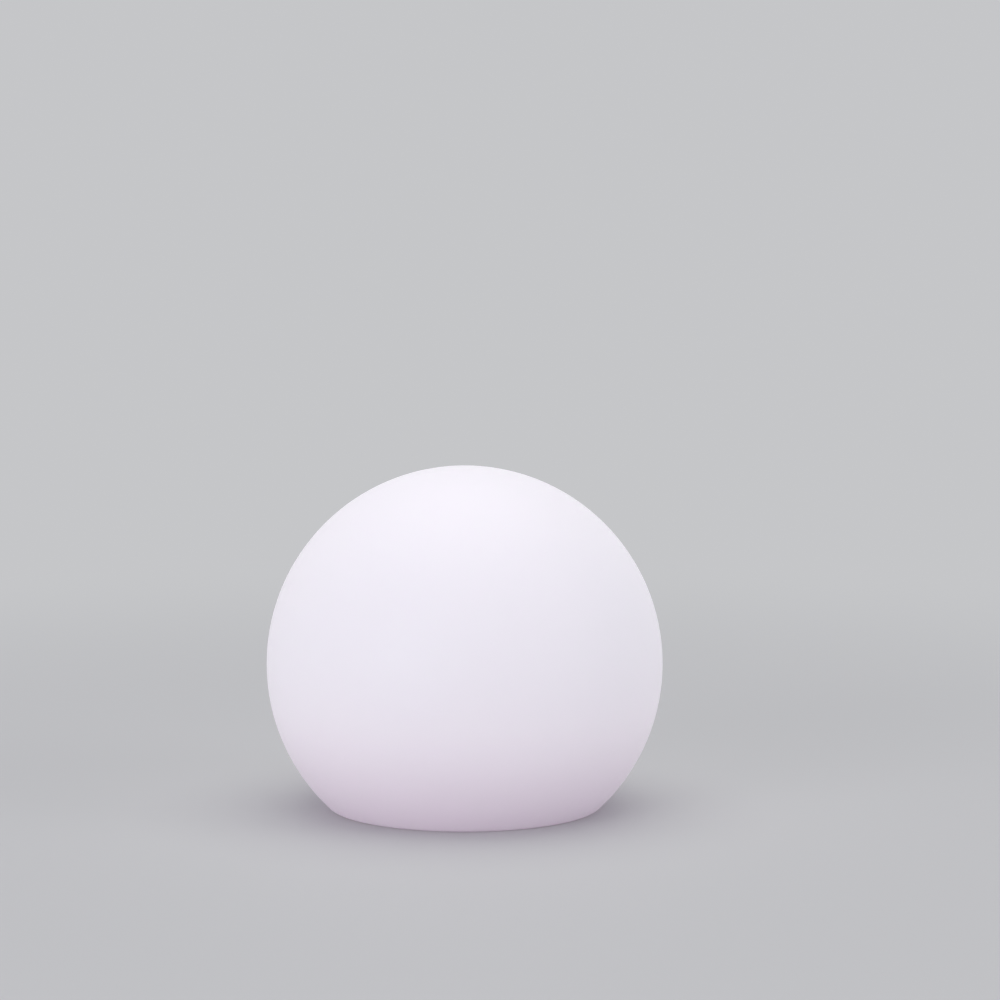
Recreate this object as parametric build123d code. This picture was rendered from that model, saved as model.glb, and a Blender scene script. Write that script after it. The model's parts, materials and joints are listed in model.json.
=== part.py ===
"""Rechargeable garden globe light: a flat-footed polyethylene ball with a light core screwed into it.

Millimetres, +Z up. The origin is the middle of the foot, on the surface that the lamp stands on, and
the ball's axis is Z. The hanging loop folds towards +Y, and the charging socket is on the -Y side.
"""

from build123d import *
import os
from math import atan2, cos, hypot, pi, radians, sin, sqrt

# ---- Ball ----------------------------------------------------------------------------------------
GLOBE_R = 100.0  # outer radius of the ball
GLOBE_CENTRE_Z = 73.5  # ball's centre above the table
GLOBE_WALL = 3.0
FOOT_EDGE_R = 6.0  # rounding from the ball into the flat foot
SEAT_WIDTH = 11.0  # flat ring that the core's seal presses on, out to the wall of the recess
WELL_EDGE_R = 2.0  # rounding of the recess's lower edge
SEAT_Z = 10.0  # seat at the top of the recess
NECK_LENGTH = 20.0  # neck above the seat

# ---- Screw thread between the neck and the core --------------------------------------------------
THREAD_PITCH = 6.0
THREAD_DEPTH = 2.0
THREAD_RADIAL_GAP = 0.5
THREAD_FLANK_GAP = 0.4
THREAD_FLANK_SLOPE = 0.4  # what each flank gives up in width for each millimetre of height
THREAD_ROOT_SINK = 0.6  # how deep a ridge is rooted in its wall
NECK_THREAD_TURNS = 1.5
CORE_THREAD_TURNS = 1.25
THREAD_START_HEIGHT = 4.5  # lower end of the neck's ridge above the seat

# ---- Seal between the ball and the core ----------------------------------------------------------
SEAL_WIDTH = 3.2
SEAL_GROOVE_DEPTH = 2.2
SEAL_SIDE_GAP = 0.2
SEAL_SQUEEZE_GAP = 0.3  # flange to seat once the core is screwed home

# ---- Core housing: a threaded tube with the core's flange at its foot ----------------------------
FLANGE_GAP = 1.5  # flange to the wall of the recess
FLANGE_THICK = 4.2
FLANGE_EDGE_R = 1.2
DISH_WALL = 2.5
DISH_DEPTH = 7.5
HOUSING_WALL = 3.0
GRIP_GROOVES = 36  # grooves in the dish wall, for the fingers that turn the core
GRIP_GROOVE_R = 1.2
GRIP_GROOVE_LENGTH = 5.0
GRIP_GROOVE_DEPTH = 0.7
BOSSES = 4  # columns that take the dome's screws from above and the plate's from below
BOSS_R = 3.5
BOSS_SINK = 0.3  # how deep a boss or lug runs into the wall that carries it
LEDGE_WIDTH = 2.5
LEDGE_THICK = 2.0

# ---- Base plate: the floor of the dish, pressed up against the ledge by four screws --------------
PLATE_THICK = 2.5
PLATE_GAP = 0.1  # plate to the dish wall
PLATE_EDGE_R = 0.6
PLATE_GASKET_THICK = 0.8
PLATE_GASKET_WIDTH = 1.9
PLATE_GASKET_INSET = 0.1  # gasket to the plate's edge

# ---- Screws --------------------------------------------------------------------------------------
SCREW_R = 1.5
SCREW_HEAD_R = 2.75
SCREW_HEAD_HEIGHT = 2.0
SMALL_SCREW_R = 1.2
SMALL_SCREW_HEAD_R = 2.2
SMALL_SCREW_HEAD_HEIGHT = 1.6
SCREW_FIT_GAP = 0.05  # shank to the wall of its blind hole
SCREW_PASS_GAP = 0.3  # shank to a hole that it only passes through
SCREW_TIP_ROOM = 1.5  # blind hole beyond the screw's tip
DOME_SCREW_LENGTH = 12.0
FRAME_SCREW_LENGTH = 10.0
PLATE_SCREW_LENGTH = 10.0
BOARD_SCREW_LENGTH = 5.5
LED_SCREW_LENGTH = 6.0
CLAMP_SCREW_LENGTH = 8.0
DRIVE_SLOT_WIDTH = 0.7
DRIVE_SLOT_DEPTH = 0.9

# ---- Stack inside the housing --------------------------------------------------------------------
BOARD_STANDOFF = 5.6
BOARD_THICK = 1.6
BOARD_HALF_X = 22.0
BOARD_BACK_Y = 19.0
BOARD_FRONT_Y = -17.0
BOARD_SCREW_INSET = 3.0
BOARD_BOSS_R = 2.8
CELL_ROOM = 2.8  # control board to the battery cell
CELL_R = 9.2
CELL_LENGTH = 65.0
CELL_END_ROOM = 8.0  # cell to the housing, room for the end board and the wires
CELL_FIT_GAP = 0.1
FRAME_ROOM = 1.9  # battery cell to the frame plate
FRAME_THICK = 2.0
FRAME_EDGE_GAP = 0.8  # frame plate to the bosses
FRAME_POST_R = 3.25
FRAME_POST_INSET = 5.0  # post's axis to the frame's edge
FRAME_POST_ANGLES = (60, 120, 240, 300)
SADDLE_INSET = 14.5  # saddle's middle to the end of the cell
SADDLE_WIDTH = 10.0
SADDLE_HALF_Y = 17.0
CLAMP_THICK = 1.5
CLAMP_EAR_THICK = 2.0
CLAMP_SCREW_Y = 13.8
WIRE_HOLE_INSET = 4.7  # hole's middle to the frame's edge
WIRE_HOLE_R = 3.0

# ---- Button and its switch -----------------------------------------------------------------------
BUTTON_R = 8.0
BUTTON_TRAVEL = 0.8
BUTTON_PROUD = 1.5  # button's face below the floor's lower face
BUTTON_BORE_GAP = 0.15
BUTTON_LIP = 1.6  # how far the retaining lip stands out from the button
BUTTON_LIP_THICK = 1.0
BUTTON_EDGE_R = 0.8
BUTTON_STEM_R = 2.0
BUTTON_SEAL_WIDTH = 1.2
BUTTON_SEAL_HEIGHT = 1.5
BUTTON_COLLAR_WALL = 2.4
BUTTON_COLLAR_HEIGHT = 1.1
ICON_R = 3.2
ICON_LINE = 0.7
ICON_DEPTH = 0.3
SWITCH_SIDE = 6.2
SWITCH_HEIGHT = 3.1
PLUNGER_R = 1.6
PLUNGER_GAP = 0.15
PLUNGER_PROUD = 0.9
PLUNGER_SUNK = 1.0  # plunger inside the switch when it is up
CONTACT_GAP = 0.05  # stem to plunger

# ---- Indicator -----------------------------------------------------------------------------------
LENS_Y = 13.0
LENS_R = 1.5
LENS_LIP = 0.8
LENS_LIP_THICK = 0.9
LENS_GAP = 0.1
LENS_TOP_GAP = 0.7  # lens to the control board

# ---- Charging socket and its flap ----------------------------------------------------------------
SOCKET_INSET = 15.5  # socket's axis to the dish wall
SOCKET_BARREL_R = 5.5
SOCKET_HOLE_GAP = 0.1
SOCKET_FLANGE_R = 6.8
SOCKET_FLANGE_THICK = 1.8
SOCKET_BARREL_ABOVE = 5.5  # barrel above the floor
SOCKET_BORE_R = 2.9
SOCKET_BORE_DEPTH = 9.0
SOCKET_PIN_R = 1.05
SOCKET_PIN_RECESS = 2.7  # pin's tip inside the mouth
SOCKET_TAIL_X = 2.3
SOCKET_TAIL_LENGTH = 4.0
SOCKET_TAIL_WIDTH = 1.6
SOCKET_TAIL_THICK = 0.8
WASHER_THICK = 0.8
NUT_ACROSS_FLATS = 14.0
NUT_THICK = 2.4
FLAP_R = 7.5
FLAP_THICK = 1.8
FLAP_GAP = 0.1  # flap to the socket's face
FLAP_STUB_R = 2.7
FLAP_STUB_TIP_R = 2.3
FLAP_STUB_LENGTH = 2.0
FLAP_TAB = 2.0
FLAP_TAB_WIDTH = 6.0
HINGE_STRAP = 0.8  # flap's edge to the hinge line
HINGE_STRAP_WIDTH = 5.0
HINGE_KNUCKLE_R = 0.5
HINGE_GAP = 0.1
ANCHOR_DEPTH = 3.6
ANCHOR_WIDTH = 7.0
ANCHOR_CHAMFER = 0.8  # room for the strap when the flap hangs right down
RIVET_R = 1.4
RIVET_HEAD_R = 2.1
RIVET_HEAD_THICK = 1.2

# ---- Hanging loop and its ears -------------------------------------------------------------------
LOOP_WIRE_R = 1.5
LOOP_REACH = 23.0  # hinge line to the middle of the wire at the loop's end
LOOP_HALF_WIDTH = 20.0
LOOP_BEND_R = 2.5
LOOP_HINGE_Y = 10.0
LOOP_FLOOR_GAP = 2.0  # folded wire to the floor, room for a fingernail
LOOP_PIN_GAP = 0.08
EAR_SIDE_GAP = 0.5
EAR_THICK = 4.0
EAR_R = 3.4

# ---- Diffuser dome and its gasket ----------------------------------------------------------------
DOME_GASKET_THICK = 0.8
DOME_FLANGE_THICK = 2.5
DOME_WALL = 2.0
DOME_FRAME_OVERLAP = 1.0  # dome wall's outer face outside the frame plate's edge
DOME_HEIGHT = 24.0
DOME_EDGE_R = 14.0

# ---- Light board ---------------------------------------------------------------------------------
LED_BOARD_SCREW_GAP = 0.75  # light board to the heads of the frame's screws
LED_BOARD_THICK = 1.6
LED_SIDE = 5.0
LED_HEIGHT = 1.6
LED_WINDOW_R = 2.1
LED_WINDOW_DEPTH = 0.3
OUTER_LEDS = 12
OUTER_LED_INSET = 6.5  # middle of the outer chips to the board's edge
INNER_LEDS = 6
LED_SCREW_ANGLES = (15, 135, 255)
LED_SCREW_INSET = 3.2  # screw's axis to the board's edge
LED_BOSS_R = 2.5
LED_BOSS_LENGTH = 4.0
RECEIVER_WIDTH = 5.6
RECEIVER_DEPTH = 4.0
RECEIVER_HEIGHT = 6.5
RECEIVER_LENS_R = 2.0

# ---- Parts on the control board ------------------------------------------------------------------
CONTROLLER = (9.9, 3.9, 1.5)
CONTROLLER_XY = (-7.0, 3.0)
CHARGER_CHIP = (4.9, 3.9, 1.5)
CHARGER_CHIP_XY = (-2.0, -9.0)
INDUCTOR = (6.0, 6.0, 2.0)
INDUCTOR_XY = (8.5, 3.0)
CAPACITOR_R = 3.0
CAPACITOR_HEIGHT = 5.4
CAPACITOR_INSET = (8.5, 5.0)  # from the board's left edge and front edge
CONNECTOR = (6.0, 5.0, 3.5)
CONNECTOR_INSET = (12.0, 4.5)  # from the board's right edge and front edge
LED_HEADER = (7.0, 3.0, 2.5)
LED_HEADER_INSET = 4.0  # from the board's back edge

# ---- Battery's end board and the wires -----------------------------------------------------------
END_TAB_THICK = 0.5
END_TAB_WIDTH = 6.0
END_BOARD_R = 8.6
END_BOARD_THICK = 1.2
WIRE_R = 0.6
LED_WIRES = 4
LED_WIRE_PITCH = 1.35
LED_WIRE_STRAIGHT = 5.0  # length of the wires' straight ends inside the housing
LED_WIRE_RISE = 4.0  # crest of the wires above the light board
LED_WIRE_BENDS = (5.0, 6.0, 2.2, 2.2)
LED_PAD_INSET = 2.0
BATTERY_LEAD_ROUTES = ((-2.0, 1.5, 1.2), (-5.0, 4.6, -0.8))  # pad y, pad below the axis, lane offset
BATTERY_LEAD_BENDS = (1.2, 2.0, 2.2)
BATTERY_LEAD_REACH = 2.0
BATTERY_LEAD_GAP = 0.2  # between the wires where the second passes outside the first
BATTERY_LEAD_RISE = 2.6
SOCKET_LEAD_BENDS = (3.0, 3.0)
SOCKET_LEAD_RISE = 4.0
SOCKET_PAD_X = 4.5
SOCKET_PAD_INSET = 2.5

# ---- Worked out from the sizes above -------------------------------------------------------------
HOUSING_INNER_R = CELL_LENGTH / 2 + CELL_END_ROOM
SKIRT_R = HOUSING_INNER_R + HOUSING_WALL
DISH_R = SKIRT_R - DISH_WALL
NECK_BORE_R = SKIRT_R + THREAD_RADIAL_GAP + THREAD_DEPTH
WELL_R = NECK_BORE_R + SEAT_WIDTH
FLANGE_R = WELL_R - FLANGE_GAP
FLANGE_TOP_Z = SEAT_Z - SEAL_SQUEEZE_GAP
FLANGE_Z = FLANGE_TOP_Z - FLANGE_THICK
FLOOR_Z = FLANGE_Z + DISH_DEPTH
FLOOR_TOP_Z = FLOOR_Z + PLATE_THICK
LEDGE_Z = FLOOR_TOP_Z + PLATE_GASKET_THICK
PLATE_R = DISH_R - PLATE_GAP
SEAL_R = (NECK_BORE_R + WELL_R) / 2
BOARD_Z = FLOOR_TOP_Z + BOARD_STANDOFF
BOARD_TOP_Z = BOARD_Z + BOARD_THICK
CAPACITOR_XY = (CAPACITOR_INSET[0] - BOARD_HALF_X, CAPACITOR_INSET[1] + BOARD_FRONT_Y)
CONNECTOR_XY = (BOARD_HALF_X - CONNECTOR_INSET[0], CONNECTOR_INSET[1] + BOARD_FRONT_Y)
LED_HEADER_Y = BOARD_BACK_Y - LED_HEADER_INSET
CELL_Z = BOARD_TOP_Z + CELL_ROOM + CELL_R
SADDLE_X = CELL_LENGTH / 2 - SADDLE_INSET
FRAME_Z = CELL_Z + CELL_R + FRAME_ROOM
FRAME_TOP_Z = FRAME_Z + FRAME_THICK
RIM_Z = FRAME_TOP_Z
BOSS_PITCH_R = HOUSING_INNER_R - BOSS_R + BOSS_SINK
FRAME_R = BOSS_PITCH_R - BOSS_R - FRAME_EDGE_GAP
FRAME_POST_PITCH_R = FRAME_R - FRAME_POST_INSET
WIRE_HOLE_Y = FRAME_R - WIRE_HOLE_INSET
DOME_FLANGE_Z = RIM_Z + DOME_GASKET_THICK
DOME_FLANGE_TOP_Z = DOME_FLANGE_Z + DOME_FLANGE_THICK
DOME_R = FRAME_R + DOME_FRAME_OVERLAP - 0.5 * DOME_WALL
LED_BOARD_TOP_Z = FRAME_TOP_Z + LED_BOARD_THICK
LED_BOARD_R = FRAME_POST_PITCH_R - SCREW_HEAD_R - LED_BOARD_SCREW_GAP
OUTER_LED_RING_R = LED_BOARD_R - OUTER_LED_INSET
INNER_LED_RING_R = OUTER_LED_RING_R / 2
LED_SCREW_PITCH_R = LED_BOARD_R - LED_SCREW_INSET
BUTTON_Z = FLOOR_Z - BUTTON_PROUD
BUTTON_LIP_TOP_Z = FLOOR_TOP_Z + BUTTON_LIP_THICK
SWITCH_Z = BOARD_Z - SWITCH_HEIGHT
PLUNGER_Z = SWITCH_Z - PLUNGER_PROUD
SOCKET_Y = SOCKET_INSET - DISH_R
SOCKET_FLANGE_Z = FLOOR_Z - WASHER_THICK - SOCKET_FLANGE_THICK
SOCKET_TOP_Z = FLOOR_TOP_Z + SOCKET_BARREL_ABOVE
FLAP_TOP_Z = SOCKET_FLANGE_Z - FLAP_GAP
FLAP_Z = FLAP_TOP_Z - FLAP_THICK
FLAP_HINGE_Y = SOCKET_Y - FLAP_R - HINGE_STRAP
FLAP_HINGE_Z = FLAP_Z + HINGE_KNUCKLE_R
LOOP_Z = FLOOR_Z - LOOP_FLOOR_GAP - LOOP_WIRE_R
EAR_OUTER_X = LOOP_HALF_WIDTH - LOOP_BEND_R - EAR_SIDE_GAP
END_TAB_X = CELL_LENGTH / 2
END_BOARD_X = END_TAB_X + END_TAB_THICK
LOWER = (Align.CENTER, Align.CENTER, Align.MIN)
UPPER = (Align.CENTER, Align.CENTER, Align.MAX)


# ---- Helpers -------------------------------------------------------------------------------------
def polar(radius, angle):
    """X and Y at a radius and an angle in degrees."""
    return radius * cos(radians(angle)), radius * sin(radians(angle))


def around(radius, count, first=0.0):
    return [polar(radius, first + 360.0 * k / count) for k in range(count)]


def disc(radius, low, high, x=0.0, y=0.0):
    """Upright cylinder from one height to another."""
    return Pos(x, y, low) * Cylinder(radius, high - low, align=LOWER)


def ring(inner, outer, low, high, x=0.0, y=0.0):
    return disc(outer, low, high, x, y) - disc(inner, low, high, x, y)


def block(x_range, y_range, z_range):
    """Box between three pairs of coordinates."""
    size = [high - low for low, high in (x_range, y_range, z_range)]
    low_corner = (x_range[0], y_range[0], z_range[0])
    return Pos(*low_corner) * Box(*size, align=(Align.MIN, Align.MIN, Align.MIN))


def chip(size, xy, low):
    """Box of a given size, standing on a board."""
    return Pos(*xy, low) * Box(*size, align=LOWER)


def strip(r_range, z_range):
    """Rectangle in a half section: radius across, height up."""
    width, height = r_range[1] - r_range[0], z_range[1] - z_range[0]
    return Pos(r_range[0], z_range[0]) * Rectangle(width, height, align=(Align.MIN, Align.MIN))


def rounded(section, corners, radius):
    """Rounds the corners of a half section that lie at the given points."""
    found = section.vertices()
    picked = [v for v in found if any(hypot(v.X - r, v.Y - z) < 0.01 for r, z in corners)]
    return fillet(picked, radius)


def turned(section):
    """Solid of revolution of a half section about Z."""
    return revolve(Plane.XZ * section, Axis.Z)


def screw(head_r, head_height, shank_r, length, x, y, seat_z):
    """Cross-slotted screw that points down, with its head's lower face at seat_z."""
    top = seat_z + head_height
    body = disc(head_r, seat_z, top, x, y)
    body = fillet(body.edges().group_by(Axis.Z)[-1], head_height * 0.3)
    body += disc(shank_r, seat_z - length, seat_z, x, y)
    slot = Box(head_r, DRIVE_SLOT_WIDTH, DRIVE_SLOT_DEPTH, align=UPPER)
    for turn in (0, 90):
        body -= Pos(x, y, top) * Rot(0, 0, turn) * slot
    return body


def large_screw(length, x, y, seat_z):
    return screw(SCREW_HEAD_R, SCREW_HEAD_HEIGHT, SCREW_R, length, x, y, seat_z)


def small_screw(length, x, y, seat_z):
    return screw(SMALL_SCREW_HEAD_R, SMALL_SCREW_HEAD_HEIGHT, SMALL_SCREW_R, length, x, y, seat_z)


def wire(points, bends):
    """Insulated wire along straight runs joined by arcs."""
    path = FilletPolyline(*points, radius=bends)
    start = Plane(origin=path @ 0, z_dir=path % 0)
    return sweep(start * Circle(WIRE_R), path=path)


def thread_ridge(wall_r, outwards, low, turns):
    """Helical ridge on a wall, rooted in it, whose middle starts at the height low."""
    side = 1 if outwards else -1
    slope_room = THREAD_FLANK_SLOPE * (THREAD_DEPTH + THREAD_RADIAL_GAP)
    at_wall = (THREAD_PITCH / 2 - THREAD_FLANK_GAP + slope_room) / 2
    root = at_wall + THREAD_FLANK_SLOPE * THREAD_ROOT_SINK
    crest = at_wall - THREAD_FLANK_SLOPE * THREAD_DEPTH
    inner = wall_r - side * THREAD_ROOT_SINK
    outer = wall_r + side * THREAD_DEPTH
    outline = Polyline((inner, -root), (outer, -crest), (outer, crest), (inner, root), close=True)
    helix = Helix(pitch=THREAD_PITCH, height=THREAD_PITCH * turns, radius=wall_r)
    return Pos(0, 0, low) * sweep(Plane.XZ * make_face(outline), path=helix, is_frenet=True)


# ---- Ball ----------------------------------------------------------------------------------------
def ball_section(radius, floor_z, edge_r):
    """Half section of a ball that is cut flat at floor_z, with a rounded edge."""
    lift = GLOBE_CENTRE_Z - floor_z - edge_r
    edge_centre_r = sqrt((radius - edge_r) ** 2 - lift**2)
    reach = radius / (radius - edge_r)
    edge_end = (edge_centre_r * reach, GLOBE_CENTRE_Z - lift * reach)
    middle = atan2(-lift, edge_centre_r) / 2 - pi / 4
    edge_middle = (edge_centre_r + edge_r * cos(middle), floor_z + edge_r + edge_r * sin(middle))
    outline = [
        Line((0, floor_z), (edge_centre_r, floor_z)),
        ThreePointArc((edge_centre_r, floor_z), edge_middle, edge_end),
        ThreePointArc(edge_end, (radius, GLOBE_CENTRE_Z), (0, GLOBE_CENTRE_Z + radius)),
        Line((0, GLOBE_CENTRE_Z + radius), (0, floor_z)),
    ]
    return make_face(outline)


def make_globe_shell():
    neck_top = SEAT_Z + NECK_LENGTH
    section = ball_section(GLOBE_R, 0, FOOT_EDGE_R)
    section -= ball_section(GLOBE_R - GLOBE_WALL, GLOBE_WALL, FOOT_EDGE_R - GLOBE_WALL)
    section += strip((NECK_BORE_R, WELL_R + GLOBE_WALL), (0, SEAT_Z + GLOBE_WALL))
    section += strip((NECK_BORE_R, NECK_BORE_R + GLOBE_WALL), (SEAT_Z, neck_top))
    section -= strip((0, WELL_R), (0, SEAT_Z))
    section -= strip((0, NECK_BORE_R), (0, neck_top))
    section = rounded(section, [(WELL_R, 0)], WELL_EDGE_R)
    section = rounded(section, [(NECK_BORE_R, SEAT_Z), (NECK_BORE_R, neck_top)], GLOBE_WALL * 0.3)
    thread_z = SEAT_Z + THREAD_START_HEIGHT
    return turned(section) + thread_ridge(NECK_BORE_R, False, thread_z, NECK_THREAD_TURNS)


def make_seal_ring():
    seat = FLANGE_TOP_Z - SEAL_GROOVE_DEPTH
    half = SEAL_WIDTH / 2
    section = strip((SEAL_R - half, SEAL_R + half), (seat, SEAT_Z))
    corners = [(SEAL_R + side * half, z) for side in (-1, 1) for z in (seat, SEAT_Z)]
    return turned(rounded(section, corners, SEAL_WIDTH / 4))


# ---- Core housing --------------------------------------------------------------------------------
def housing_section():
    section = strip((DISH_R, FLANGE_R), (FLANGE_Z, FLANGE_TOP_Z))
    section += strip((DISH_R, SKIRT_R), (FLANGE_Z, LEDGE_Z))
    section += strip((DISH_R - LEDGE_WIDTH, SKIRT_R), (LEDGE_Z, LEDGE_Z + LEDGE_THICK))
    section += strip((HOUSING_INNER_R, SKIRT_R), (LEDGE_Z, RIM_Z))
    groove = SEAL_WIDTH / 2 + SEAL_SIDE_GAP
    groove_z = (FLANGE_TOP_Z - SEAL_GROOVE_DEPTH, FLANGE_TOP_Z)
    section -= strip((SEAL_R - groove, SEAL_R + groove), groove_z)
    edges = [(DISH_R, FLANGE_Z), (FLANGE_R, FLANGE_Z), (FLANGE_R, FLANGE_TOP_Z)]
    return rounded(section, edges, FLANGE_EDGE_R)


def grip_grooves():
    """Half-round grooves in the dish wall."""
    low = FLANGE_Z + (DISH_DEPTH - GRIP_GROOVE_LENGTH) / 2
    centre_r = DISH_R + GRIP_GROOVE_DEPTH - GRIP_GROOVE_R
    spots = around(centre_r, GRIP_GROOVES, first=180.0 / GRIP_GROOVES)
    return [disc(GRIP_GROOVE_R, low, low + GRIP_GROOVE_LENGTH, x, y) for x, y in spots]


def boss_spots():
    return around(BOSS_PITCH_R, BOSSES, first=180.0 / BOSSES)


def make_core_housing():
    housing = turned(housing_section()) - grip_grooves()
    thread_z = SEAT_Z + THREAD_START_HEIGHT + THREAD_PITCH / 2
    housing += thread_ridge(SKIRT_R, True, thread_z, CORE_THREAD_TURNS)
    housing += [disc(BOSS_R, LEDGE_Z, RIM_Z, x, y) for x, y in boss_spots()]
    dome_grip = DOME_SCREW_LENGTH - DOME_FLANGE_THICK - DOME_GASKET_THICK
    housing -= [boss_hole(SCREW_R, dome_grip, RIM_Z, x, y) for x, y in boss_spots()]
    plate_grip = PLATE_SCREW_LENGTH + SCREW_TIP_ROOM
    hole = (SCREW_R + SCREW_FIT_GAP, LEDGE_Z, FLOOR_Z + plate_grip)
    return housing - [disc(*hole, x, y) for x, y in boss_spots()]


def make_plate_gasket():
    outer = PLATE_R - PLATE_GASKET_INSET
    return ring(outer - PLATE_GASKET_WIDTH, outer, FLOOR_TOP_Z, LEDGE_Z)


# ---- Base plate ----------------------------------------------------------------------------------
def board_screw_spots():
    x = BOARD_HALF_X - BOARD_SCREW_INSET
    y_pair = (BOARD_FRONT_Y + BOARD_SCREW_INSET, BOARD_BACK_Y - BOARD_SCREW_INSET)
    return [(side * x, y) for side in (-1, 1) for y in y_pair]


def frame_screw_spots():
    return [polar(FRAME_POST_PITCH_R, angle) for angle in FRAME_POST_ANGLES]


def loop_ear(side):
    """Ear below the floor that one end of the hanging loop turns in."""
    x_range = sorted((side * EAR_OUTER_X, side * (EAR_OUTER_X - EAR_THICK)))
    hinge = Pos(x_range[0], LOOP_HINGE_Y, LOOP_Z) * Rot(0, 90, 0)
    drum = hinge * Cylinder(EAR_R, EAR_THICK, align=LOWER)
    hole = hinge * Cylinder(LOOP_WIRE_R + LOOP_PIN_GAP, EAR_THICK, align=LOWER)
    y_range = (LOOP_HINGE_Y - EAR_R, LOOP_HINGE_Y + EAR_R)
    return drum + block(x_range, y_range, (LOOP_Z, FLOOR_Z + BOSS_SINK)) - hole


def boss_hole(radius, length, top, x, y):
    return disc(radius + SCREW_FIT_GAP, top - length - SCREW_TIP_ROOM, top, x, y)


def make_base_plate():
    plate = disc(PLATE_R, FLOOR_Z, FLOOR_TOP_Z)
    plate = fillet(plate.edges().group_by(Axis.Z)[0], PLATE_EDGE_R)
    plate += [disc(BOARD_BOSS_R, FLOOR_TOP_Z, BOARD_Z, x, y) for x, y in board_screw_spots()]
    plate += [disc(FRAME_POST_R, FLOOR_TOP_Z, FRAME_Z, x, y) for x, y in frame_screw_spots()]
    plate += [loop_ear(-1), loop_ear(1)]
    bore = BUTTON_R + BUTTON_BORE_GAP
    collar_z = FLOOR_Z - BUTTON_COLLAR_HEIGHT
    plate += disc(bore + BUTTON_COLLAR_WALL, collar_z, FLOOR_Z)

    plate -= disc(bore, collar_z, FLOOR_TOP_Z)
    plate -= disc(bore + BUTTON_SEAL_WIDTH, *button_seal_z_range())
    plate -= disc(SOCKET_BARREL_R + SOCKET_HOLE_GAP, FLOOR_Z, FLOOR_TOP_Z, 0, SOCKET_Y)
    plate -= disc(LENS_R + LENS_GAP, FLOOR_Z, FLOOR_TOP_Z, 0, LENS_Y)
    plate -= disc(RIVET_R, FLOOR_Z, FLOOR_TOP_Z, 0, rivet_y())
    plate -= [disc(SCREW_R + SCREW_PASS_GAP, FLOOR_Z, FLOOR_TOP_Z, x, y) for x, y in boss_spots()]
    board_grip = BOARD_SCREW_LENGTH - BOARD_THICK
    plate -= [boss_hole(SMALL_SCREW_R, board_grip, BOARD_Z, x, y) for x, y in board_screw_spots()]
    frame_grip = FRAME_SCREW_LENGTH - FRAME_THICK
    return plate - [boss_hole(SCREW_R, frame_grip, FRAME_Z, x, y) for x, y in frame_screw_spots()]


def make_plate_screws():
    """Screws that point up, from below the plate."""
    shape = Rot(180, 0, 0) * large_screw(PLATE_SCREW_LENGTH, 0, 0, 0)
    return [Pos(x, y, FLOOR_Z) * shape for x, y in boss_spots()]


# ---- Hanging loop --------------------------------------------------------------------------------
def make_hanging_loop():
    """U of wire whose ends turn inwards into the ears."""
    tip_x = EAR_OUTER_X - EAR_THICK
    straight_y = LOOP_HINGE_Y + LOOP_REACH - LOOP_HALF_WIDTH
    elbow_inset = LOOP_BEND_R * (1 - cos(pi / 4))
    path = []
    for side in (1, -1):
        tip = (side * tip_x, LOOP_HINGE_Y)
        bend_start = (side * (LOOP_HALF_WIDTH - LOOP_BEND_R), LOOP_HINGE_Y)
        elbow = (side * (LOOP_HALF_WIDTH - elbow_inset), LOOP_HINGE_Y + elbow_inset)
        bend_end = (side * LOOP_HALF_WIDTH, LOOP_HINGE_Y + LOOP_BEND_R)
        leg_end = (side * LOOP_HALF_WIDTH, straight_y)
        path.append(Line(tip, bend_start))
        path.append(ThreePointArc(bend_start, elbow, bend_end))
        path.append(Line(bend_end, leg_end))
    crown = (0, straight_y + LOOP_HALF_WIDTH)
    path.append(ThreePointArc((LOOP_HALF_WIDTH, straight_y), crown, (-LOOP_HALF_WIDTH, straight_y)))
    centre_line = Pos(0, 0, LOOP_Z) * Wire(path)
    start = Plane(origin=(tip_x, LOOP_HINGE_Y, LOOP_Z), z_dir=(1, 0, 0))
    return sweep(start * Circle(LOOP_WIRE_R), path=centre_line)


# ---- Button and switch ---------------------------------------------------------------------------
def make_power_button():
    cap = disc(BUTTON_R, BUTTON_Z, FLOOR_TOP_Z)
    cap = fillet(cap.edges().group_by(Axis.Z)[0], BUTTON_EDGE_R)
    cap += disc(BUTTON_R + BUTTON_LIP, FLOOR_TOP_Z, BUTTON_LIP_TOP_Z)
    cap += disc(BUTTON_STEM_R, BUTTON_LIP_TOP_Z, PLUNGER_Z - CONTACT_GAP)
    half = ICON_LINE / 2
    face = (BUTTON_Z, BUTTON_Z + ICON_DEPTH)
    gap = block((-2 * ICON_LINE, 2 * ICON_LINE), (0, 2 * ICON_R), face)
    cap -= ring(ICON_R - half, ICON_R + half, *face) - gap
    return cap - block((-half, half), (ICON_R * 0.25, ICON_R * 1.2), face)


def button_seal_z_range():
    low = FLOOR_Z + (PLATE_THICK - BUTTON_COLLAR_HEIGHT - BUTTON_SEAL_HEIGHT) / 2
    return low, low + BUTTON_SEAL_HEIGHT


def make_button_seal():
    low, high = button_seal_z_range()
    inner, outer = BUTTON_R + BUTTON_BORE_GAP / 2, BUTTON_R + BUTTON_BORE_GAP + BUTTON_SEAL_WIDTH
    section = strip((inner, outer), (low, high))
    corners = [(inner, low), (inner, high)]
    return turned(rounded(section, corners, BUTTON_SEAL_WIDTH / 3))


def make_push_switch():
    body = Pos(0, 0, SWITCH_Z) * Box(SWITCH_SIDE, SWITCH_SIDE, SWITCH_HEIGHT, align=LOWER)
    depth = PLUNGER_SUNK + BUTTON_TRAVEL + PLUNGER_GAP
    return body - disc(PLUNGER_R + PLUNGER_GAP, SWITCH_Z, SWITCH_Z + depth)


def make_switch_plunger():
    return disc(PLUNGER_R, PLUNGER_Z, SWITCH_Z + PLUNGER_SUNK)


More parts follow.
